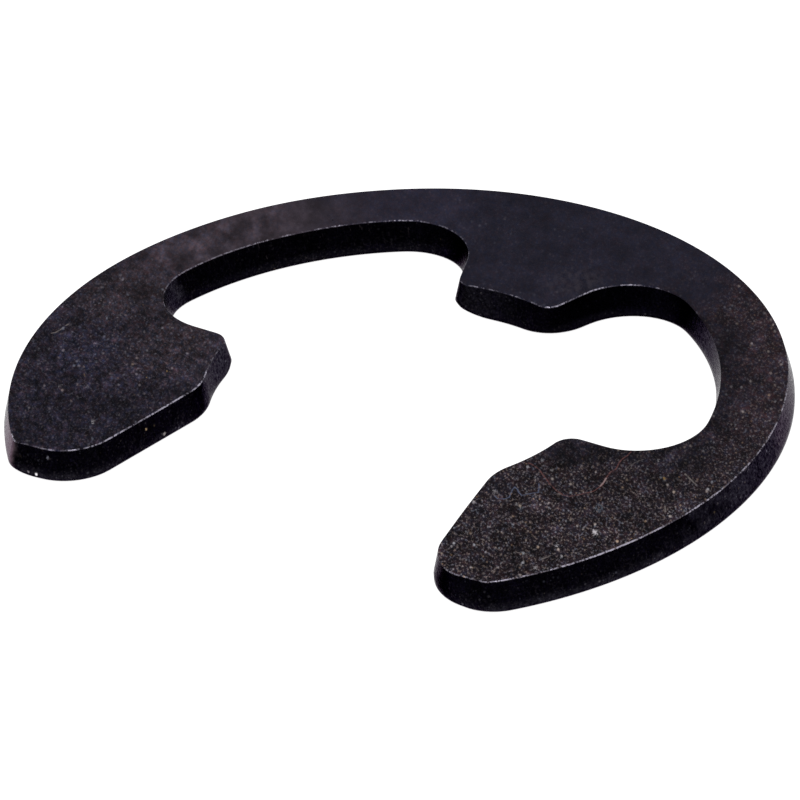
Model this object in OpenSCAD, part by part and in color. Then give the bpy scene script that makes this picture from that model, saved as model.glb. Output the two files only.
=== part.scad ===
// External E-type retaining ring (E-clip) for a 19 mm groove, as it lies before it is fitted.
// It is blanked in one stroke from spring-steel strip and has no other piece.
// The origin is on the shaft axis, at the underside. The middle prong points along +Y
// and the mouth opens towards -Y. The broken, slightly smaller side of the blank faces up.

/* [Strip] */
// Thickness of the strip
strip_t = 1.75; // [1.4:0.05:2.2]

/* [Ring] */
// Outer diameter of the band
outer_d = 36.8; // [35:0.1:40]
// Width of the band, from the floor of a pocket to the rim
band_w = 3.65; // [2.8:0.05:4.5]
// How far the centre of the band lies below the shaft axis
band_drop = 0.13; // [0:0.01:0.4]
// Diameter of the circle on which the three prongs bear
bearing_d = 18; // [17:0.1:19]
// Clear width of the mouth, where the shaft snaps through
mouth_w = 15.92; // [14.5:0.02:16.5]

/* [Middle prong] */
// Width of the bearing face of the middle prong
middle_face_w = 5.4; // [4.5:0.1:7]
// Angle of each flank of the middle prong to its own axis
middle_flank_angle = 21; // [14:0.5:26]
// Radius of the corners of the bearing face
middle_corner_r = 1; // [0.7:0.05:1.3]
// How much rounder these corners are at the underside
middle_corner_more = 1.6; // [0:0.1:1.6]

/* [End prongs] */
// Height of the flank above the shaft axis, at the bearing circle
end_flank_y = 0.05; // [-0.6:0.05:0.6]
// Rise of the flank towards the band
end_flank_angle = 0.5; // [0:0.5:5]
// Radius of the corner between the flank and the bearing face
end_corner_r = 1.2; // [0.9:0.05:1.6]
// How much rounder this corner is at the underside
end_corner_more = 0.9; // [0:0.1:1]
// Radius of the corner between the bearing face and the lead-in
throat_r = 2.9; // [1.8:0.1:3.4]
// Angle of the lead-in edge to the axis of the clip
lead_in_angle = 10.5; // [6:0.1:14]
// Height cut off the full circle by the end edges
end_cut_h = 5.6; // [5:0.1:6.4]
// Slope of the end edge, down towards the rim
tip_angle = 5; // [0:0.5:8]
// Radius of the corner between the lead-in and the end edge
tip_inner_r = 2.8; // [1.6:0.1:3]
// Radius of the corner between the end edge and the outer edge of the band
tip_outer_r = 0.7; // [0.6:0.05:1.2]
// How much rounder the outer corner is at the underside
tip_outer_more = 2; // [0:0.1:2]

/* [Pockets] */
// Radius of the fillets at both ends of each pocket
pocket_fillet_r = 2.95; // [2:0.05:3.6]

/* [Blanked edge] */
// Height of the broken zone under the top face
broken_h = 1.1; // [0.6:0.05:1.2]
// How far the broken zone leans in at the top face
broken_lean = 0.25; // [0.05:0.05:0.3]
// Height of the rolled-over edge at the underside
roll_h = 0.42; // [0.1:0.02:0.5]
// Width of the rolled-over edge at the underside
roll_w = 0.6; // [0.1:0.05:0.6]
// Worn-down corner along the top edge
edge_break = 0.06; // [0.02:0.02:0.12]

/* [Hidden] */

outer_r = outer_d / 2;
band_inner_r = outer_r - band_w;
bearing_r = bearing_d / 2;
// Steel that the outline leaves on the three bearing faces, for the round tool to take off
bearing_skim = 0.01;
seat_r = bearing_r - bearing_skim;

// A fillet of a pocket leaves room for a flank between it and the corner of the prong
fillet_share = 0.66;
pocket_depth = band_inner_r - bearing_r;
pocket_fillet = min(pocket_fillet_r, fillet_share * (pocket_depth - max(middle_corner_r, end_corner_r)));
// So do the corners at the underside
corner_room = 0.94 * (pocket_depth - pocket_fillet);
middle_corner_more_fit = min(middle_corner_more, corner_room - middle_corner_r);
end_corner_more_fit = min(end_corner_more, corner_room - end_corner_r);

// Longest turn between two outline points on the wide arcs, and the steps of the other arcs
wide_step = 3;
corner_steps = 6;
fillet_steps = 6;
seat_steps = 6;
// Steps of the rolled-over edge
roll_steps = 4;
// How far a cutting shape runs past a face
overrun = 1;

shaft_axis = [0, 0];
band_axis = [0, -band_drop];

// The outline is worked out for one half of the clip, from the middle prong round to the top of
// the band, and mirrored. Each point of it is [x, y, nx, ny]: its place before the section is
// added, and the direction out of the steel. Its corners depend on more, which runs from 0 on the
// burnished land, the widest part of the section, to 1 at the underside, where they are rounder.

function unit(a) = [cos(a), sin(a)];
function left_of(d) = [-d[1], d[0]];
function heading(v) = atan2(v[1], v[0]);

// Point at distance r from c on the line through p along d, the one further along
function on_line(p, d, c, r) =
    let (q = p - c, f = q - d * (q * d))
    c + f + d * sqrt(r * r - f * f);

// Where the line through p along d meets the line through q along e
function crossing(p, d, q, e) = p + d * (cross(q - p, e) / cross(d, e));

// Arc round c from heading a0 to a1, with the steel inside it for out = 1 and outside for out = -1
function arc(c, r, a0, a1, out, n) =
    [for (i = [0 : n]) let (u = unit(a0 + (a1 - a0) * i / n)) concat(c + r * u, out * u)];
function wide_steps(a0, a1) = ceil(abs(a1 - a0) / wide_step);

// Flank of the middle prong, with the pocket on its right
middle_dir = unit(90 - middle_flank_angle);
middle_out = -left_of(middle_dir);
middle_start = [middle_face_w / 2, sqrt(pow(seat_r, 2) - pow(middle_face_w / 2, 2))];
function middle_r(more) = middle_corner_r + more * middle_corner_more_fit;
function middle_corner(more) =
    on_line(middle_start - middle_out * middle_r(more), middle_dir, shaft_axis, seat_r + middle_r(more));
crown_fillet = on_line(middle_start + middle_out * pocket_fillet, middle_dir,
    band_axis, band_inner_r - pocket_fillet);
crown_heading = heading(crown_fillet - band_axis);

// Flank of the end prong, with the pocket above it
end_dir = unit(end_flank_angle);
end_out = left_of(end_dir);
end_start = [seat_r, end_flank_y];
end_fillet = on_line(end_start + end_out * pocket_fillet, end_dir, band_axis, band_inner_r - pocket_fillet);
end_heading = heading(end_fillet - band_axis);
function end_r(more) = end_corner_r + more * end_corner_more_fit;
function end_corner(more) =
    on_line(end_start - end_out * end_r(more), end_dir, shaft_axis, seat_r + end_r(more));

// Throat corner, which comes nearest to the axis of the clip and so sets the mouth
throat_x = mouth_w / 2 + throat_r;
throat = [throat_x, -sqrt(pow(seat_r + throat_r, 2) - pow(throat_x, 2))];

// Lead-in edge, with the mouth on its left, and the end edge below it
lead_dir = unit(lead_in_angle - 90);
lead_out = -left_of(lead_dir);
lead_start = throat + lead_out * throat_r;
tip_dir = unit(-tip_angle);
tip_out = -left_of(tip_dir);
tip_start = [throat_x, end_cut_h - band_drop - outer_r];
// Both corners of the end edge leave room for some of it
tip_w = norm(on_line(tip_start, tip_dir, band_axis, outer_r) - crossing(lead_start, lead_dir, tip_start, tip_dir));
tip_inner_fillet = min(tip_inner_r, 0.8 * tip_w);
tip_inner = crossing(lead_start - lead_out * tip_inner_fillet, lead_dir,
    tip_start - tip_out * tip_inner_fillet, tip_dir);
function tip_r(more) = tip_outer_r + more * min(tip_outer_more, 0.74 * tip_w - tip_outer_r);
function tip_outer(more) =
    on_line(tip_start - tip_out * tip_r(more), tip_dir, band_axis, outer_r - tip_r(more));

// Neighbouring arcs share an end point, which is kept once
same = 1e-6;
function joined(p) = [for (i = [0 : len(p) - 1]) if (i == 0 || norm(p[i] - p[i - 1]) > same) p[i]];

function middle_run(more) = joined(concat(
    arc(shaft_axis, seat_r, 90, heading(middle_corner(more)), -1, seat_steps),
    arc(middle_corner(more), middle_r(more), heading(middle_corner(more)) + 180, heading(middle_out) + 360,
        1, corner_steps),
    arc(crown_fillet, pocket_fillet, heading(middle_out) + 180, crown_heading, -1, fillet_steps)
));
pocket_steps = wide_steps(crown_heading, end_heading);
pocket_run = arc(band_axis, band_inner_r, crown_heading, end_heading, -1, pocket_steps);
// The rim is split at the heading that the end corner has on the land
rim_heading = heading(end_corner(0) - band_axis);
function end_run(more) = joined(concat(
    arc(end_fillet, pocket_fillet, end_heading, heading(-end_out), -1, fillet_steps),
    arc(end_corner(more), end_r(more), heading(end_out), heading(end_corner(more)) + 180, 1, corner_steps),
    arc(shaft_axis, seat_r, heading(end_corner(more)), heading(throat), -1, seat_steps),
    arc(throat, throat_r, heading(throat) + 180, heading(lead_out) + 360, 1, corner_steps),
    arc(tip_inner, tip_inner_fillet, heading(lead_out), heading(tip_out), 1, corner_steps),
    arc(tip_outer(more), tip_r(more), heading(tip_out), heading(tip_outer(more) - band_axis), 1, corner_steps),
    arc(band_axis, outer_r, heading(tip_outer(more) - band_axis), rim_heading, 1,
        wide_steps(heading(tip_outer(0) - band_axis), rim_heading))
));
rim_low_steps = wide_steps(rim_heading, end_heading);
rim_run = joined(concat(
    arc(band_axis, outer_r, rim_heading, end_heading, 1, rim_low_steps),
    arc(band_axis, outer_r, end_heading, crown_heading, 1, pocket_steps),
    arc(band_axis, outer_r, crown_heading, 90, 1, wide_steps(crown_heading, 90))
));

function right_half(more) = joined(concat(middle_run(more), pocket_run, end_run(more), rim_run));
function outline(more) =
    let (h = right_half(more))
    concat(h, [for (i = [len(h) - 2 : -1 : 1]) let (p = h[i]) [-p[0], p[1], -p[2], p[3]]]);

// Where the runs start, as places in the list of points, and the rim points opposite the pocket's ends
pocket_at = len(middle_run(0)) - 1;
end_at = pocket_at + pocket_steps;
rim_at = end_at + len(end_run(0)) - 1;
top_at = len(right_half(0)) - 1;
rim_low_at = rim_at + rim_low_steps;
rim_high_at = rim_low_at + pocket_steps;

// A flat face is laid out as the middle prong, the band and the end prong of one half, and the
// same mirrored. The whole of a prong can be seen from its first point, which lies on the rim.
function span(from, to) = [for (i = [from : to]) i];
function turned(f) = [for (i = [0 : len(f) - 1]) f[(len(f) - i) % len(f)]];
half_face = concat(
    [concat([top_at], span(0, pocket_at), span(rim_high_at, top_at - 1))],
    [for (k = [0 : pocket_steps - 1])
        [pocket_at + k, pocket_at + k + 1, rim_high_at - k - 1, rim_high_at - k]],
    [concat(span(rim_at, rim_low_at), span(end_at, rim_at - 1))]
);
flat_face = concat(
    half_face,
    [for (f = half_face) turned([for (i = f) (2 * top_at - i) % (2 * top_at)])]
);

// Section of the blanked edge as [height, distance out from the land], from the underside up
edge_section = concat(
    [for (k = [0 : roll_steps])
        let (a = 90 * k / roll_steps) [roll_h * (1 - cos(a)), roll_w * (sin(a) - 1)]],
    [[strip_t - broken_h, 0],
     [strip_t - edge_break, -broken_lean],
     [strip_t, -broken_lean - edge_break]]
);

// How much of their extra roundness the corners have at a height
function more_at(z) = pow(cos(90 * min(1, z / (strip_t - broken_h))), 2);

// Carries the section round the outline
module blank() {
    n = len(outline(0));
    rings = len(edge_section);
    points = [for (s = edge_section, p = outline(more_at(s[0])))
        [p[0] + p[2] * s[1], p[1] + p[3] * s[1], s[0]]];
    walls = [for (j = [0 : rings - 2], i = [0 : n - 1])
        [j * n + i, (j + 1) * n + i, (j + 1) * n + (i + 1) % n, j * n + (i + 1) % n]];
    top_face = [for (f = flat_face) turned([for (i = f) (rings - 1) * n + i])];
    polyhedron(points, concat(flat_face, top_face, walls));
}

// The round tool that brings all three bearing faces to one circle, with the section of the edge
module bearing_tool() {
    rotate_extrude($fn = 96)
        polygon(concat(
            [[0, -overrun], [bearing_r - edge_section[0][1], -overrun]],
            [for (s = edge_section) [bearing_r - s[1], s[0]]],
            [[bearing_r + broken_lean + edge_break, strip_t + overrun], [0, strip_t + overrun]]
        ));
}

module retaining_clip() {
    color([0.13, 0.12, 0.13])
        difference() {
            blank();
            bearing_tool();
        }
}

retaining_clip();
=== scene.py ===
"""External E-type retaining ring in black spring steel, on a white table."""

import bpy
import numpy as np
from mathutils import Matrix, Vector


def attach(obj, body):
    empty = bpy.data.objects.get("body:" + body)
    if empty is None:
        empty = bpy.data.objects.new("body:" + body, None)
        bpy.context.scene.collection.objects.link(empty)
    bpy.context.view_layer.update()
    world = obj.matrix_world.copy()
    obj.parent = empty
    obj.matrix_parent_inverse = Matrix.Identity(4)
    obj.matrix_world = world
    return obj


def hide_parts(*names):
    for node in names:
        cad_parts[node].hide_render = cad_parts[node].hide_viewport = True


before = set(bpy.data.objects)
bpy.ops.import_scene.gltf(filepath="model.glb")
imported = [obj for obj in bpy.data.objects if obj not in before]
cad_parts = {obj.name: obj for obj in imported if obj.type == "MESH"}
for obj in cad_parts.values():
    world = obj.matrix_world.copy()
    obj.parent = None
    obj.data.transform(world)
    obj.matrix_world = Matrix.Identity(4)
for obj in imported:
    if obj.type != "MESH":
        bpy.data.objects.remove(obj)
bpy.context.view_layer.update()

# The retaining ring is blanked in one stroke from spring-steel strip 1.75 mm thick. The punch
# leaves a rolled-over edge at the underside, a burnished land above it, and a broken zone that
# leans in to a sharp top edge, which the tumbling after hardening has worn down.
MM = 0.001
strip_t = 1.75
outer_r = 18.4
band_inner_r = 14.75
band_axis = np.array([0, -0.13])
bearing_r = 9.0
mouth_half_w = 7.96
middle_face_w, middle_flank_angle, middle_corner_r, middle_corner_more = 5.4, 21, 1.0, 1.6
end_flank_y, end_flank_angle, end_corner_r, end_corner_more = 0.05, 0.5, 1.2, 0.9
throat_r, lead_in_angle = 2.9, 10.5
end_cut_h, tip_angle, tip_inner_r, tip_outer_r, tip_outer_more = 5.6, 5, 2.8, 0.7, 2.0
pocket_r = 2.95
broken_h, broken_lean = 1.1, 0.25
roll_h, roll_w = 0.42, 0.6
edge_break = 0.06
# Points round the outline, and steps over the roll-over, the broken zone and the top edge
outline_points = 1100
roll_steps, broken_steps, break_steps = 10, 6, 4
# How much of the wear falls on each step from just under the top edge to the flat face
wear_over_break = [0.6, 1, 1, 0.8, 0]


def unit(degrees):
    """The point at that heading on the circle of radius 1."""
    a = np.radians(degrees)
    return np.array([np.cos(a), np.sin(a)])


def left_of(d):
    """The direction a quarter turn to the left of d."""
    return np.array([-d[1], d[0]])


def heading(v):
    """The angle of v from the x axis, in degrees."""
    return np.degrees(np.arctan2(v[1], v[0]))


def on_line(p, d, c, r):
    """The far point at distance r from c on the line through p along d: the foot of the line from
    c plus d times the root of r squared less the foot squared."""
    foot = p - c - d * ((p - c) @ d)
    return c + foot + d * np.sqrt(r * r - foot @ foot)


def crossing(p, d, q, e):
    """Where the line through p along d meets the line through q along e."""
    def turn(a, b):
        return a[0] * b[1] - a[1] * b[0]
    return p + d * (turn(q - p, e) / turn(d, e))


def arc(centre, r, start, stop, out, steps):
    """Rows of x, y, nx, ny on the arc: the centre plus r times the unit vector u of each heading,
    and the outward normal out times u."""
    u = unit(np.linspace(start, stop, steps + 1)).T
    return np.column_stack([centre + r * u, out * u])


def half_outline(more):
    """Arcs of the right half, from the tip of the middle prong round to the top of the band. A
    corner's centre lies where its flank and its circle, each shifted by its radius, cross. The
    prongs' outer corners grow with more, from 0 on the land to 1 at the underside."""
    axis = np.zeros(2)
    middle_r = middle_corner_r + more * middle_corner_more
    end_r = end_corner_r + more * end_corner_more
    tip_r = tip_outer_r + more * tip_outer_more
    middle_dir = unit(90 - middle_flank_angle)
    middle_out = -left_of(middle_dir)
    middle_start = np.array([middle_face_w / 2, np.sqrt(bearing_r**2 - (middle_face_w / 2) ** 2)])
    middle = on_line(middle_start - middle_out * middle_r, middle_dir, axis, bearing_r + middle_r)
    floor_r = band_inner_r - pocket_r
    crown = on_line(middle_start + middle_out * pocket_r, middle_dir, band_axis, floor_r)
    end_dir = unit(end_flank_angle)
    end_out = left_of(end_dir)
    end_start = np.array([bearing_r, end_flank_y])
    fillet = on_line(end_start + end_out * pocket_r, end_dir, band_axis, floor_r)
    end = on_line(end_start - end_out * end_r, end_dir, axis, bearing_r + end_r)
    throat_x = mouth_half_w + throat_r
    throat = np.array([throat_x, -np.sqrt((bearing_r + throat_r) ** 2 - throat_x**2)])
    lead_dir = unit(lead_in_angle - 90)
    lead_out = -left_of(lead_dir)
    lead_start = throat + lead_out * throat_r
    tip_dir = unit(-tip_angle)
    tip_out = -left_of(tip_dir)
    tip_start = np.array([throat_x, end_cut_h + band_axis[1] - outer_r])
    tip_inner = crossing(lead_start - lead_out * tip_inner_r, lead_dir,
                         tip_start - tip_out * tip_inner_r, tip_dir)
    tip = on_line(tip_start - tip_out * tip_r, tip_dir, band_axis, outer_r - tip_r)
    crown_at, fillet_at, tip_at = [heading(c - band_axis) for c in (crown, fillet, tip)]
    return np.vstack([
        arc(axis, bearing_r, 90, heading(middle), -1, 8),
        arc(middle, middle_r, heading(middle) + 180, heading(middle_out) + 360, 1, 16),
        arc(crown, pocket_r, heading(middle_out) + 180, crown_at, -1, 16),
        arc(band_axis, band_inner_r, crown_at, fillet_at, -1, 48),
        arc(fillet, pocket_r, fillet_at, heading(-end_out), -1, 16),
        arc(end, end_r, heading(end_out), heading(end) + 180, 1, 16),
        arc(axis, bearing_r, heading(end), heading(throat), -1, 12),
        arc(throat, throat_r, heading(throat) + 180, heading(lead_out) + 360, 1, 12),
        arc(tip_inner, tip_inner_r, heading(lead_out), heading(tip_out), 1, 20),
        arc(tip, tip_r, heading(tip_out), tip_at, 1, 16),
        arc(band_axis, outer_r, tip_at, 90, 1, 130),
    ])


def closed_outline(more, at):
    """The half and its mirror image as one ring, interpolated along its length at the given
    shares, so that the rings of every height have their points side by side."""
    right = half_outline(more)
    ring = np.vstack([right, right[-2::-1] * [-1, 1, -1, 1]])
    gap = np.hypot(*np.diff(ring[:, :2], axis=0).T)
    length = np.concatenate([[0], np.cumsum(gap + 1e-9)])
    ring = np.column_stack([np.interp(at, length / length[-1], c) for c in ring.T])
    ring[:, 2:4] /= np.hypot(ring[:, 2], ring[:, 3])[:, None]
    return ring


def edge_section():
    """Rows of height, distance out from the land, share of the broken zone's lean, share of the
    corners' extra roundness and wear, from the underside up: a quarter ellipse for the roll-over,
    the land, the leaning broken zone and a quarter round at the top."""
    a = np.radians(np.linspace(0, 90, roll_steps + 1))
    b = np.radians(np.linspace(0, 90, break_steps + 1))[1:]
    rise = np.linspace(0, 1, broken_steps + 1)
    z = np.concatenate([roll_h * (1 - np.cos(a)), strip_t - broken_h + rise * (broken_h - edge_break),
                        strip_t - edge_break * (1 - np.sin(b))])
    out = np.concatenate([roll_w * (np.sin(a) - 1), 0 * rise, -edge_break * (1 - np.cos(b))])
    lean = np.concatenate([0 * a, rise, 0 * b + 1])
    more = np.cos(np.pi / 2 * np.clip(z / (strip_t - broken_h), 0, 1)) ** 2
    wear = np.concatenate([0 * a, 0 * rise[1:], wear_over_break])
    return np.column_stack([z, out, lean, more, wear])


# Where the strip tore at another slant: a point on the outline, how far that reaches, and what it
# adds to the lean there, in millimetres
slants = [((-13.4, 6.0), 4.0, 0.13), ((-9.0, 11.5), 4.0, 0.13), ((4.0, 11.9), 2.2, 0.12),
          ((8.5, -8.0), 3.0, -0.05), ((-8.5, -8.0), 3.5, -0.06), ((-8.4, -3.3), 1.5, -0.06),
          ((10.9, -12.9), 0.9, -0.12), ((12.9, -13.1), 0.7, 0.10), ((-12.4, -13.1), 0.9, 0.05),
          ((17.4, -5.5), 4.0, 0.05)]
# How far the top edge is worn, by share of the way along the outline, which runs from the middle
# prong to the right end prong, round the back to the left one and home
worn = [(0.0, 0.26), (0.006, 0.26), (0.010, 0.40), (0.014, 0.50), (0.018, 0.80), (0.022, 0.60),
        (0.027, 0.70), (0.031, 0.60), (0.035, 0.35), (0.043, 0.35), (0.047, 0.25), (0.051, 0.10),
        (0.055, 0.0), (0.232, 0.0), (0.240, 0.32), (0.247, 0.42), (0.252, 0.32), (0.260, 0.55),
        (0.264, 0.45), (0.277, 0.60), (0.281, 0.80), (0.290, 0.95), (0.294, 1.20), (0.298, 0.90),
        (0.302, 0.52), (0.307, 0.60), (0.311, 0.42), (0.320, 0.60), (0.330, 0.62), (0.336, 0.42),
        (0.370, 0.42), (0.395, 0.28), (0.400, 0.0), (0.741, 0.0), (0.742, 0.5), (0.744, 0.85),
        (0.748, 0.25), (0.754, 0.18), (0.760, 0.38), (0.764, 0.42), (0.768, 0.25), (0.772, 0.65),
        (0.776, 0.45), (0.781, 0.80), (0.786, 0.50), (0.790, 0.35), (0.796, 0.65), (0.800, 0.80),
        (0.807, 0.35), (0.812, 0.80), (0.817, 0.70), (0.821, 0.30), (0.834, 0.22), (0.868, 0.28),
        (0.880, 0.28), (0.890, 0.42), (0.900, 0.30), (0.923, 0.42), (0.932, 0.25), (0.944, 0.35),
        (0.950, 0.20), (0.957, 0.34), (0.983, 0.34), (0.985, 0.38), (0.989, 0.26), (1.0, 0.26)]


def ring_mesh(name):
    """The section carried round the outline: each point is the outline's point plus its normal
    times the section's distance, at the section's height. The slant adds a bell curve of the
    distance from each slant's middle. Both ends are closed by a flat face."""
    section = edge_section()
    n, m = outline_points, len(section)
    at = np.arange(n) / n
    rings = np.array([closed_outline(more, at) for more in section[:, 3]])
    top = rings[-1, :, :2]
    lean = broken_lean + sum(more * np.exp(-((top - middle) ** 2).sum(1) / reach**2)
                             for middle, reach, more in slants)
    out = section[:, 1:2] - section[:, 2:3] * lean
    z = np.broadcast_to(section[:, :1], (m, n))
    xy = rings[:, :, :2] + rings[:, :, 2:4] * out[:, :, None]
    points = np.dstack([xy, z]).reshape(-1, 3) * MM
    i, j = np.meshgrid(np.arange(n), np.arange(m - 1))
    k = (i + 1) % n
    walls = np.stack([j * n + i, j * n + k, (j + 1) * n + k, (j + 1) * n + i], axis=-1).reshape(-1, 4)
    # The outline has the steel on its left, so the upper cap follows it and the lower one turns back
    caps = [np.arange(n)[::-1], (m - 1) * n + np.arange(n)]
    mesh = bpy.data.meshes.new(name)
    mesh.from_pydata(points, [], [w.tolist() for w in walls] + [c.tolist() for c in caps])
    smooth = np.ones(len(walls) + 2, bool)
    smooth[-2:] = False
    mesh.polygons.foreach_set("use_smooth", smooth)
    # The flat faces and the worn top edge take the first material, the walls the second
    slot = np.ones(len(walls) + 2, int)
    slot[-2:] = 0
    slot[(m - 1 - break_steps) * n:len(walls)] = 0
    mesh.polygons.foreach_set("material_index", slot)
    wear = section[:, 4:5] * np.interp(at, *np.transpose(worn))
    layer = mesh.attributes.new("wear", "FLOAT", "POINT")
    layer.data.foreach_set("value", wear.reshape(-1).astype(np.float32))
    mesh.update()
    mesh.validate()
    return mesh


class Value:
    """A number that a node puts out. Sums and products of it add Math nodes."""

    def __init__(self, finish, socket):
        self.finish, self.socket = finish, socket

    def math(self, operation, *others):
        inputs = dict(enumerate([self, *others]))
        return self.finish.node("ShaderNodeMath", inputs, operation=operation)

    def __add__(self, other):
        return self.math("ADD", other)

    def __sub__(self, other):
        return self.math("SUBTRACT", other)

    def __mul__(self, other):
        return self.math("MULTIPLY", other)

    def __rsub__(self, other):
        return self.math("MULTIPLY_ADD", -1.0, other)

    __radd__, __rmul__ = __add__, __mul__

    def larger(self, other):
        return self.math("MAXIMUM", other)

    def smaller(self, other):
        return self.math("MINIMUM", other)

    def power(self, other):
        return self.math("POWER", other)

    def exponent(self):
        return self.math("EXPONENT")

    def between(self, low, high, first=0.0, last=1.0):
        """Runs smoothly from first, where the number is low, to last, where it is high."""
        inputs = {"Value": self, "From Min": low, "From Max": high, "To Min": first, "To Max": last}
        return self.finish.node("ShaderNodeMapRange", inputs, interpolation_type="SMOOTHSTEP")


# The way the strip was rolled, and the share by which its grain is drawn out along it
rolled_way = np.array([0.57, -0.82, 0])
rolled_share = 0.46


class Finish:
    """A material while it is made. One method adds any node to it, and the others call that one."""

    def __init__(self, name):
        self.material = bpy.data.materials.new(name)
        self.material.use_nodes = True
        self.tree = self.material.node_tree
        self.tree.nodes.clear()

    def node(self, kind, inputs=None, out=0, stops=None, **settings):
        """Adds a node, sets its settings and a ramp's stops, then fills or links its sockets."""
        node = self.tree.nodes.new(kind)
        for name, value in settings.items():
            setattr(node, name, value)
        if stops:
            elements = node.color_ramp.elements
            for place, _ in stops[:-2]:
                elements.new(place)
            for element, (place, colour) in zip(elements, stops):
                element.position, element.color = place, (*colour, 1)
        for name, value in (inputs or {}).items():
            if isinstance(value, Value):
                self.tree.links.new(value.socket, node.inputs[name])
            else:
                node.inputs[name].default_value = value
        return Value(self, node.outputs[out])

    def ramp(self, value, *stops):
        """A colour that follows the stops, each a place and a colour, as the value rises."""
        return self.node("ShaderNodeValToRGB", {0: value}, stops=stops)

    def vector(self, operation, first, second, out="Vector"):
        """Vector Math on two places, or on a place and a number where it scales."""
        inputs = {0: first, "Scale" if operation == "SCALE" else 1: second}
        return self.node("ShaderNodeVectorMath", inputs, out=out, operation=operation)

    def place(self):
        """The place on the object in millimetres."""
        return self.vector("SCALE", self.node("ShaderNodeTexCoord", out="Object"), 1 / MM)

    def along(self, place, direction):
        """The distance of a place along a direction."""
        return self.vector("DOT_PRODUCT", place, tuple(direction), "Value")

    def apart(self, place, point):
        """The distance from a place to a point, in plan."""
        flat = self.vector("MULTIPLY", place, (1, 1, 0))
        return self.vector("DISTANCE", flat, (*point, 0), "Value")

    def around(self, place, point, waver, far, near):
        """1 where a place is nearer than near to a point in plan, and 0 where it is past far. The
        waver is added to the distance, so that the border isn't round."""
        return (self.apart(place, point) + waver).between(far, near)

    def grain(self, place, size, detail=2.0, rough=0.5):
        """Cloudy noise whose lumps are about size millimetres across, from 0 to 1."""
        inputs = {"Vector": place, "Scale": 1 / size, "Detail": detail, "Roughness": rough}
        return self.node("ShaderNodeTexNoise", inputs, out="Fac")

    def blend(self, share, first, second, mode="MIX"):
        """Two colours mixed: the first where share is 0 and the second where it is 1."""
        def full(colour):
            return colour if isinstance(colour, Value) else (*colour, 1)
        inputs = {0: share, 6: full(first), 7: full(second)}
        return self.node("ShaderNodeMix", inputs, out=2, data_type="RGBA", blend_type=mode)

    def lighter(self, colour, light):
        """A colour times the exponent of light, so that it is left alone where light is 0."""
        grey = dict.fromkeys(range(3), light.exponent())
        return self.blend(1.0, colour, self.node("ShaderNodeCombineColor", grey), "MULTIPLY")

    def glints(self, place, size, first, power, far, near):
        """Dots, at most one in each cell of that size: their level, which falls from the middle
        of the cell outwards and is 0 in a share first of the cells, and a number for their hue."""
        cells = {"Vector": place, "Scale": 1 / size}
        distance = self.node("ShaderNodeTexVoronoi", cells, out="Distance")
        random = self.node("ShaderNodeTexVoronoi", cells, out="Color")
        level, hue = [self.node("ShaderNodeSeparateColor", {0: random}, out=i) for i in range(2)]
        return level.between(first, 1.0).power(power) * distance.between(far, near), hue

    def stirred(self, place, size, reach):
        """The place moved up to about half of reach each way, for lines that waver."""
        inputs = {"Vector": place, "Scale": 1 / size, "Detail": 3.0, "Roughness": 0.6}
        noise = self.node("ShaderNodeTexNoise", inputs, out="Color")
        shift = self.vector("SUBTRACT", noise, (0.5, 0.5, 0.5))
        return self.vector("ADD", place, self.vector("SCALE", shift, reach))

    def drawn(self, place):
        """The place less a share of its own part along the way the strip was rolled, so that a
        grain that reads it is drawn out that way."""
        back = self.along(place, rolled_way) * -rolled_share
        return self.vector("ADD", place, self.vector("SCALE", tuple(rolled_way), back))

    def from_mark(self, drawn_place, x, y):
        """The distance of a drawn-out place from a mark on the top face."""
        mark = np.array([x, y, strip_t])
        mark = mark - rolled_way * (rolled_way @ mark) * rolled_share
        return self.vector("DISTANCE", drawn_place, tuple(mark), "Value")

    def strand(self, place, points):
        """Distance to a line through points on the top face: for each stretch from a to b, the
        length of p - a less its part along b - a, held between the ends, and the least of all."""
        best = None
        for a, b in zip(points[:-1], points[1:]):
            a, step = np.array([*a, strip_t]), np.array([*b, 0]) - np.array([*a, 0])
            rel = self.vector("SUBTRACT", place, tuple(a))
            t = self.along(rel, step / (step @ step)).larger(0.0).smaller(1.0)
            d = self.vector("DISTANCE", rel, self.vector("SCALE", tuple(step), t), "Value")
            best = d if best is None else best.smaller(d)
        return best

    def end(self, shader):
        """Links the shader to the material's output, and gives the material."""
        out = self.tree.nodes.new("ShaderNodeOutputMaterial")
        self.tree.links.new(shader.socket, out.inputs["Surface"])
        return self.material


# What lies on the top face, in millimetres in plan: a reddish hair and a blue curl of lint on the
# right end prong, a faint thread beside them, and thin scratches
red_hair = [(9.10, -3.11), (9.46, -3.19), (9.83, -3.36), (10.16, -3.61), (10.99, -4.24),
            (11.54, -4.55), (12.00, -4.73), (12.33, -4.71), (12.68, -4.31), (13.05, -3.79),
            (13.14, -3.16), (12.97, -2.62), (12.84, -2.01), (12.94, -1.68), (12.81, -1.27),
            (12.71, -0.84), (12.76, -0.50), (12.74, -0.05)]
pale_hair = [(13.10, -3.25), (13.05, -2.90), (12.96, -2.54)]
blue_curl = [(9.30, -6.29), (9.52, -6.43), (9.85, -6.28), (9.93, -6.05), (9.71, -5.44),
             (9.68, -5.19), (9.88, -5.29), (10.10, -5.51), (10.35, -5.66), (10.68, -5.25),
             (10.88, -5.09), (10.73, -4.78), (10.50, -4.43)]
faint_thread = [(13.32, -1.40), (13.36, -0.98), (13.46, -0.57), (13.59, -0.37)]
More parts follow.
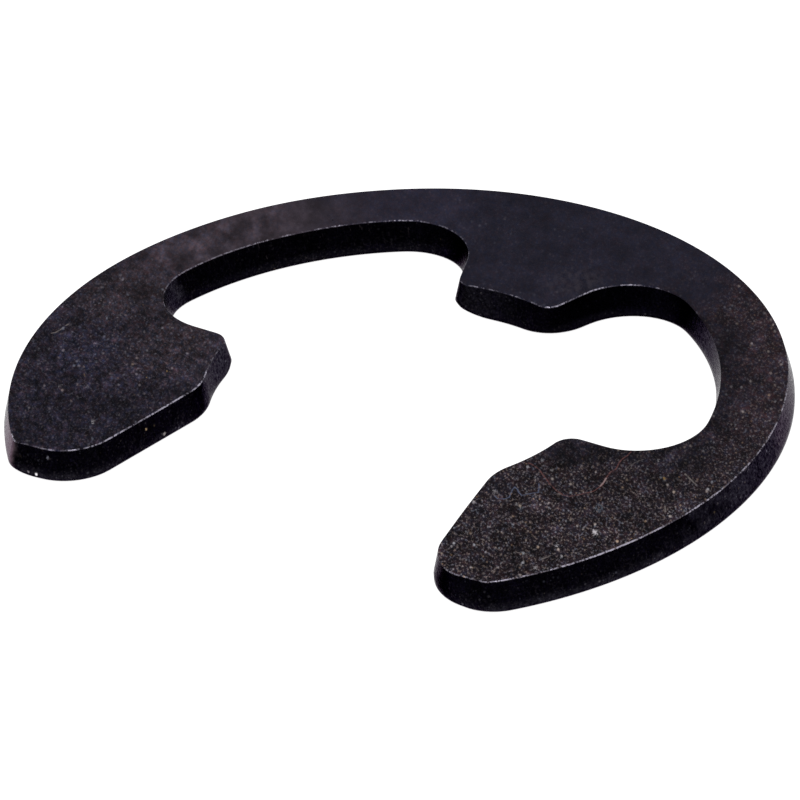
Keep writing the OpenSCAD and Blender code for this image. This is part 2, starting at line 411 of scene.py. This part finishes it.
scratches = [[(-16.93, -3.96), (-16.80, -3.81), (-16.74, -3.56), (-16.71, -3.21), (-16.71, -2.88)],
             [(12.83, -9.93), (13.08, -9.83), (13.45, -9.80)],
             [(14.12, -9.85), (14.26, -9.58), (14.38, -9.17)],
             [(10.62, -9.70), (10.92, -9.74)], [(16.61, -3.33), (16.94, -3.79)],
             [(15.95, -0.53), (16.56, -0.89), (16.99, -1.15)]]
# Height of the finish's own roughness, in metres
bump_h = 0.00002
# Lint: its line, how far it reaches and its core, how unbroken it is, its share and its colour
lint = [(red_hair, 0.055, 0.010, 0.30, 0.90, (0.105, 0.046, 0.044)),
        (pale_hair, 0.060, 0.020, 1.00, 0.90, (0.24, 0.17, 0.17)),
        (blue_curl, 0.052, 0.010, 0.55, 0.85, (0.082, 0.098, 0.155)),
        (faint_thread, 0.055, 0.015, 0.40, 0.70, (0.075, 0.065, 0.065))]
scratch_colour = (0.16, 0.14, 0.135)
# Chips: place, radius and how pale. Gold specks and pits: place and radius
chips = [(15.03, -6.79, 0.19, 0.55), (14.09, -8.58, 0.11, 0.30), (14.78, -9.26, 0.08, 0.30),
         (13.95, -6.04, 0.08, 0.16), (8.90, -4.10, 0.09, 0.12), (10.55, -6.41, 0.10, 0.20),
         (9.92, -9.55, 0.09, 0.13), (9.08, -5.95, 0.13, 0.19), (14.26, -10.60, 0.14, 0.25),
         (14.29, -0.16, 0.08, 0.23), (-10.66, -9.68, 0.12, 0.28), (-13.84, -7.69, 0.11, 0.14),
         (-12.73, -7.17, 0.10, 0.15), (-9.97, -8.58, 0.08, 0.09), (-12.18, -0.87, 0.09, 0.12),
         (-14.96, -1.06, 0.09, 0.09), (-16.13, -0.74, 0.09, 0.08)]
gold_specks = [(15.36, -1.33, 0.10), (-13.38, -6.35, 0.07), (-10.73, -5.13, 0.06),
               (-10.16, -4.24, 0.06), (-10.81, -1.12, 0.05)]
pits = [(12.92, -12.36, 0.10), (-13.11, -1.45, 0.05), (-15.48, -9.31, 0.08), (-11.0, 11.1, 0.06)]
gold, pit_black, bare_steel = (0.27, 0.17, 0.06), (0.003, 0.002, 0.003), (0.50, 0.47, 0.57)
lint_ring, lint_ring_r, lint_ring_colour = (14.04, -4.88), 0.14, (0.075, 0.090, 0.115)


def marked(f, p, g, colour):
    """The colour with lint, scratches, chips and pits laid on it, at the place p and, for the
    ragged chips, the drawn-out place g."""
    q = f.stirred(p, 0.25, 0.08)
    broken = f.grain(p, 0.22, 3.0).between(0.36, 0.56)
    for points, reach, core, unbroken, share, tint in lint:
        line = f.strand(q, points).between(reach, core) * (broken * (1 - unbroken) + unbroken)
        colour = f.blend(line * share, colour, tint)
    for points in scratches:
        line = f.strand(q, points).between(0.065, 0.015) * broken
        colour = f.blend(line * 0.75, colour, scratch_colour)
    ragged = f.stirred(g, 0.09, 0.45)
    for x, y, radius, level in chips:
        spot = f.from_mark(ragged, x, y).between(radius, radius * 0.1)
        colour = f.blend(spot, colour, (level, level * 0.94, level))
    for x, y, radius in gold_specks:
        spot = f.from_mark(ragged, x, y).between(radius, radius * 0.1)
        colour = f.blend(spot, colour, gold)
    ring = (f.from_mark(ragged, *lint_ring) - lint_ring_r).power(2.0).between(0.0022, 0.0003)
    colour = f.blend(ring * 0.7, colour, lint_ring_colour)
    for x, y, radius in pits:
        spot = f.apart(q, (x, y)).between(radius, radius * 0.4)
        colour = f.blend(spot, colour, pit_black)
    return colour


def black_face():
    """Phosphated flat face: a dark ground whose colour changes over the ring, with a painted sheen
    that lightens its back left, fine crystals that catch the light and are boldest on the right, a
    worn bare top edge and lint on it all."""
    f = Finish("black_phosphate_face")
    p = f.place()
    g = f.drawn(p)
    x, y = [f.along(p, way) for way in np.eye(3)[:2]]
    slow = f.grain(p, 2.6, 3.0) - 0.5
    # Shares of each part of the ring
    right = (x - y * 0.15 + slow * 12.0).between(4.0, 10.5)
    left = (x * -1.0 + y * -0.55 + slow * 10.0).between(6.5, 12.5)
    front = y.between(12.0, -10.0, 0.45, 1.2)
    left_tip = f.around(p, (-11.6, -10.8), slow * 5.0, 6.0, 2.5)
    # A painted sheen: the face is lighter at its back left
    painted_sheen = f.around(p, (-14.4, 8.0), slow * 6.0, 8.5, 1.5)
    cold = f.around(p, (-8.6, 14.0), slow * 4.0, 5.0, 1.5)
    brown = f.around(p, (-11.6, -2.4), slow * 5.0, 4.2, 1.0)
    brown = brown.larger(f.around(p, (-15.5, 0.5), slow * 5.0, 4.0, 1.0))
    blue = f.around(p, (-14.4, -4.8), slow * 4.0, 3.2, 0.8)
    dark = f.around(p, band_axis, slow * 2.0, 16.9, 15.2) * right * y.between(-3.0, 1.0)
    dark = dark.larger(f.around(p, (10.2, -0.9), slow * 2.0, 2.2, 0.8))
    # Each part's ground over the one before, from the bluish middle and left
    colour = f.blend(left, (0.0125, 0.0115, 0.0200), (0.0118, 0.0095, 0.0155))
    for share, ground in (
            (cold, (0.0185, 0.0165, 0.0285)),
            # The painted sheen's lighter ground
            (painted_sheen, (0.0375, 0.0290, 0.0375)),
            (left_tip * 0.95, (0.0085, 0.0072, 0.0125)),
            (right, (0.0098, 0.0066, 0.0092)),
            (right * (y + slow * 6.0).between(0.5, 7.0), (0.0155, 0.0103, 0.0140)),
            (brown * 0.9, (0.0200, 0.0155, 0.0200)),
            (blue * 0.6, (0.0108, 0.0100, 0.0185)),
            (dark * 0.85, (0.0070, 0.0058, 0.0095))):
        colour = f.blend(share, colour, ground)
    # The ground is mottled in lightness, and between reddish and bluish
    mottle = f.grain(g, 0.28, 3.0, 0.7) - 0.5
    patch = f.grain(g, 0.70, 3.0, 0.6) - 0.5
    cloud = f.grain(p, 1.3, 3.0) - 0.5
    light = mottle * (right * 0.6 + left * 0.8 - painted_sheen * 0.6 + 0.5) * front * 3.4
    light = light + patch * (left * 1.6 + right * 2.7 + painted_sheen * 1.3 + 0.9)
    light = light + cloud * (left * 0.6 + right * 0.5 + 1.1)
    colour = f.lighter(colour, light)
    tinted = left * 0.45 + right * 0.45 - painted_sheen * 0.45 + 0.42
    for size, share in ((0.13, 1.0), (0.45, 0.30)):
        shift = f.ramp(f.grain(g, size, 3.0, 0.6), (0.3, (0.30, 0.45, 0.68)),
                       (0.5, (0.5, 0.5, 0.5)), (0.7, (0.76, 0.46, 0.42)))
        colour = f.blend(tinted * share, colour, shift, "OVERLAY")
    # Crystals: a felt of pale threads, then fine glints and a few large ones. Those on the left
    # are cool and those on the right warm
    amount = (right * 1.0 + left * 0.27 + brown * 0.15 + 0.18) * front * (1.0 - dark * 0.6)
    amount = amount * (patch * 2.2 + cloud * 1.4 + 1.0).larger(0.1)
    amount = amount * (1.0 - left_tip * 0.25) * (1.0 - painted_sheen * 0.6)
    felt = f.grain(g, 0.125, 2.0, 0.75).between(0.49, 0.72)
    hue = f.grain(g, 0.17, 2.0).between(0.35, 0.65)
    cool = f.ramp(hue, (0.0, (0.62, 0.72, 1.0)), (0.5, (0.95, 0.84, 1.0)), (1.0, (1.0, 0.76, 0.78)))
    warm = f.ramp(hue, (0.0, (0.70, 0.78, 1.0)), (0.4, (1.0, 0.86, 0.94)), (1.0, (1.0, 0.79, 0.68)))
    colour = f.blend(felt * amount * 0.088, colour, f.blend(right, cool, warm), "ADD")
    stirred = f.stirred(g, 0.08, 0.10)
    for size, bright, first, power in ((0.14, 0.12, 0.35, 2.5), (0.21, 0.25, 0.84, 1.5)):
        level, hue = f.glints(stirred, size, first, power, 0.48, 0.05)
        cool = f.ramp(hue, (0.0, (0.70, 0.80, 1.0)), (0.5, (0.95, 0.88, 1.0)),
                      (0.85, (1.0, 0.82, 0.84)), (1.0, (1.0, 0.70, 0.45)))
        warm = f.ramp(hue, (0.0, (0.80, 0.88, 1.0)), (0.35, (1.0, 0.92, 0.95)),
                      (0.8, (1.0, 0.83, 0.70)), (1.0, (1.0, 0.60, 0.30)))
        colour = f.blend(level * amount * bright, colour, f.blend(right, cool, warm), "ADD")
    # A pale swirl behind the middle prong
    swirl = f.around(p, (2.3, 11.7), slow * 1.5, 1.8, 0.6) * mottle.between(-0.12, 0.16)
    colour = f.blend(swirl * 0.65, colour, (0.034, 0.029, 0.038))
    colour = marked(f, p, g, colour)
    # Bare steel along the top edge, in beads
    wear = f.node("ShaderNodeAttribute", out="Fac", attribute_name="wear")
    beads = f.grain(p, 0.14, 2.0, 0.6).between(0.34, 0.62, 0.2, 1.0)
    beads = beads * f.grain(p, 0.9, 2.0).between(0.3, 0.62, 0.35, 1.1)
    bare = (wear * beads * 1.6).between(0.08, 1.0)
    colour = f.blend(bare, colour, bare_steel)
    bump = f.node("ShaderNodeBump", {"Strength": 0.5, "Distance": bump_h,
                                     "Height": f.grain(p, 0.09, 2.0)})
    shader = f.node("ShaderNodeBsdfPrincipled", {
        "Base Color": colour, "Roughness": 0.55 - bare * 0.2, "Metallic": bare * 0.85,
        "Specular IOR Level": 0.02, "Normal": bump})
    return f.end(shader)


# Grey on the walls that is partly dust and partly a painted lilac sheen: a place in plan, how much its
# border wavers, how far it reaches and its core, and its share. It lies on the right pocket's floor,
# the left prong's bearing face, the left pocket's end and the middle prong
wall_dust_and_sheen = [((11.6, 9.2), 2.0, 5.0, 2.0, 0.8), ((-8.7, -2.4), 1.5, 2.5, 1.3, 1.0),
             ((-14.3, 2.0), 1.5, 1.6, 0.6, 0.7), ((-2.2, 8.9), 1.5, 3.2, 0.8, 0.15)]
# Specks on the walls: place in millimetres, radius and colour
wall_specks = [((-8.67, -8.30, 1.2), 0.10, (0.30, 0.21, 0.12)),
               ((-8.36, -7.29, 0.5), 0.12, (0.20, 0.18, 0.18)),
               ((-11.14, -12.77, 1.35), 0.10, (0.10, 0.10, 0.12)),
               ((-11.69, -13.0, 0.42), 0.11, (0.85, 0.83, 0.86)),
               ((-13.08, -12.42, 0.05), 0.10, (0.25, 0.22, 0.25)),
               ((-12.08, -13.04, 0.45), 0.08, (0.20, 0.18, 0.20))]
wall_black, dust_and_sheen_grey = (0.0008, 0.0006, 0.0016), (0.041, 0.038, 0.053)


def black_wall():
    """Blanked wall: almost pure black and slightly glossy, so that it pales only where it turns away,
    with faint upright streaks, a few specks, a grey that is partly dust and partly painted sheen, and
    a painted lilac sheen at the left tip and the far right."""
    f = Finish("black_blanked_wall")
    p = f.place()
    x, y, z = [f.along(p, way) for way in np.eye(3)]
    streak = f.grain(f.vector("MULTIPLY", p, (1, 1, 0.08)), 0.15, 2.0) - 0.5
    cloud = f.grain(p, 0.9, 3.0) - 0.5
    fine = f.grain(p, 0.09, 2.0, 0.6) - 0.5
    colour = f.lighter(wall_black, streak * 2.0 + cloud * 2.5 + fine * 5.0)
    # The grey, as dust and painted sheen, also lies thick on the far right and thin at the foot of the
    # front walls
    dust_and_sheen_share = (x + y * 0.22 + cloud * 3.5).between(16.6, 19.4, 0.0, 0.8)
    for point, waver, far, near, share in wall_dust_and_sheen:
        dust_and_sheen_share = dust_and_sheen_share.larger(f.around(p, point, cloud * waver, far, near) * share)
    foot = (z + cloud * 0.9 + fine * 0.8).between(0.80, 0.0) * y.between(6.0, 0.0, 0.25, 1.0)
    dust_and_sheen_share = dust_and_sheen_share.larger(foot * 0.65)
    # The grey, partly dust and partly painted sheen, is mottled and laid on
    mottle = f.grain(p, 0.16, 4.0, 0.75).between(0.36, 0.70)
    dust_and_sheen = dust_and_sheen_share * (mottle * 0.85 + 0.15)
    colour = f.blend(dust_and_sheen, colour, dust_and_sheen_grey)
    # A painted sheen, bright at the left tip's outer corner, and dull at the far right
    left_tip_sheen = f.around(p, (-14.1, -11.9), cloud, 1.7, 0.9) * (mottle * 0.4 + 0.6) * z.between(0.1, 0.6)
    colour = f.blend(left_tip_sheen, colour, (0.24, 0.175, 0.205))
    far_right_sheen = f.around(p, (17.1, 6.8), cloud * 2.0, 3.2, 1.2) * mottle
    colour = f.blend(far_right_sheen, colour, (0.085, 0.070, 0.090))
    nicks = (streak + z * 0.12).between(0.28, 0.42) * x.between(-6.0, -9.0) * y.between(2.0, 7.0)
    colour = f.blend(nicks, colour, (0.022, 0.018, 0.020))
    # Crystals, faint on the back walls and fainter in the right pocket
    back_share = x.between(4.0, 1.0, 0.1, 1.0)
    felt = f.grain(p, 0.15, 2.0, 0.7).between(0.5, 0.75) * y.between(9.0, -2.0, back_share, 1.0)
    felt = felt * z.between(1.6, 0.1, 0.25, 1.0)
    colour = f.blend(felt * 0.009, colour, (1.0, 0.85, 1.0), "ADD")
    stirred = f.stirred(p, 0.07, 0.07)
    for size, bright, first in ((0.12, 0.06, 0.5), (0.19, 0.12, 0.86)):
        level, hue = f.glints(stirred, size, first, 3.0, 0.5, 0.0)
        level = level * (dust_and_sheen_share * 1.5 + y.between(5.0, -3.0, 0.1, 0.2))
        tint = f.ramp(hue, (0.0, (0.70, 0.75, 1.0)), (0.8, (1.0, 0.90, 1.0)), (1.0, (1.0, 0.75, 0.40)))
        colour = f.blend(level * bright, colour, tint, "ADD")
    ragged = f.stirred(p, 0.13, 0.2)
    for place, radius, tint in wall_specks:
        spot = f.vector("DISTANCE", ragged, place, "Value").between(radius, radius * 0.3)
        colour = f.blend(spot, colour, tint)
    pitted = f.grain(p, 0.12, 3.0)
    bump = f.node("ShaderNodeBump", {"Strength": 1.0, "Distance": bump_h, "Height": pitted})
    # The tint is what is left of the edge-on reflection: the oiled black takes more than half
    shader = f.node("ShaderNodeBsdfPrincipled", {
        "Base Color": colour, "Roughness": pitted.between(0.35, 0.65, 0.12, 0.30),
        "Metallic": 1.0 - dust_and_sheen, "Specular IOR Level": 0.004,
        "Specular Tint": (0.43, 0.405, 0.44, 1), "Normal": bump})
    return f.end(shader)


clip = bpy.data.objects.new("retaining_clip_blanked", ring_mesh("retaining_clip_blanked"))
bpy.context.scene.collection.objects.link(clip)
clip.data.materials.append(black_face())
clip.data.materials.append(black_wall())
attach(clip, "root")
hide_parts("retaining_clip")

# The table is a plain white sheet that runs on past the view, with only the ring's own faint
# shadow on it. Eyes and shiny steel see it white.
table_w, table_z = 4, -0.00001
bpy.ops.mesh.primitive_plane_add(size=table_w, location=(0, 0, table_z))
table = bpy.context.object
table.name = "table"


def white_table():
    """Plain matt white that also glows to the eye and in reflections, but lights nothing."""
    f = Finish("white_table")
    seen = f.node("ShaderNodeLightPath", out="Is Camera Ray")
    for ray in ("Is Glossy Ray", "Is Transmission Ray"):
        seen = seen.larger(f.node("ShaderNodeLightPath", out=ray))
    plain = f.node("ShaderNodeBsdfDiffuse", {"Color": (0.8, 0.8, 0.8, 1)})
    glow = f.node("ShaderNodeEmission", {"Color": (1, 1, 1, 1), "Strength": 0.97})
    shade = f.node("ShaderNodeBsdfDiffuse", {"Color": (0.3, 0.3, 0.3, 1)})
    bright = f.node("ShaderNodeAddShader", {0: shade, 1: glow})
    return f.end(f.node("ShaderNodeMixShader", {0: seen, 1: plain, 2: bright}))


table.data.materials.append(white_table())

# Soft studio light: a large panel high on the camera's side and an even pale room
panel_azimuth, panel_elevation, panel_distance, panel_w, panel_watts = 35, 62, 0.45, 0.22, 1.1
room_strength = 0.57


def towards(azimuth, elevation):
    """The direction from the ring to a lamp or camera: the azimuth turns from -y towards +x."""
    a, e = np.radians([azimuth, elevation])
    return Vector((np.sin(a) * np.cos(e), -np.cos(a) * np.cos(e), np.sin(e)))


lamp = bpy.data.lights.new("panel_overhead", "AREA")
lamp.shape, lamp.size, lamp.energy = "SQUARE", panel_w, panel_watts
panel = bpy.data.objects.new("panel_overhead", lamp)
panel_way = towards(panel_azimuth, panel_elevation)
panel_turn = panel_way.to_track_quat("Z", "Y").to_matrix().to_4x4()
panel.matrix_world = Matrix.Translation(panel_way * panel_distance) @ panel_turn
bpy.context.scene.collection.objects.link(panel)
world = bpy.data.worlds.new("pale_room")
bpy.context.scene.world = world
world.use_nodes = True
background = world.node_tree.nodes["Background"]
background.inputs["Color"].default_value = (1, 1, 1, 1)
background.inputs["Strength"].default_value = room_strength

# The camera stands well back with a long lens, turned slightly about its own axis
azimuth, elevation, roll = 34.746, 31.126, -3.356
target = Vector((0.842, -1.246, 1.75)) * MM
distance = 0.55619
back = towards(azimuth, elevation)
level = Vector((np.cos(np.radians(azimuth)), np.sin(np.radians(azimuth)), 0))
right = level * float(np.cos(np.radians(roll))) + back.cross(level) * float(np.sin(np.radians(roll)))
up = back.cross(right)
lens = bpy.data.cameras.new("camera")
lens.lens, lens.sensor_width, lens.clip_end = 540, 36, 10
camera = bpy.data.objects.new("camera", lens)
turn = Matrix((right, up, back)).transposed().to_4x4()
camera.matrix_world = Matrix.Translation(target + back * distance) @ turn
bpy.context.scene.collection.objects.link(camera)
bpy.context.scene.camera = camera
bpy.context.scene.view_settings.view_transform = "Standard"
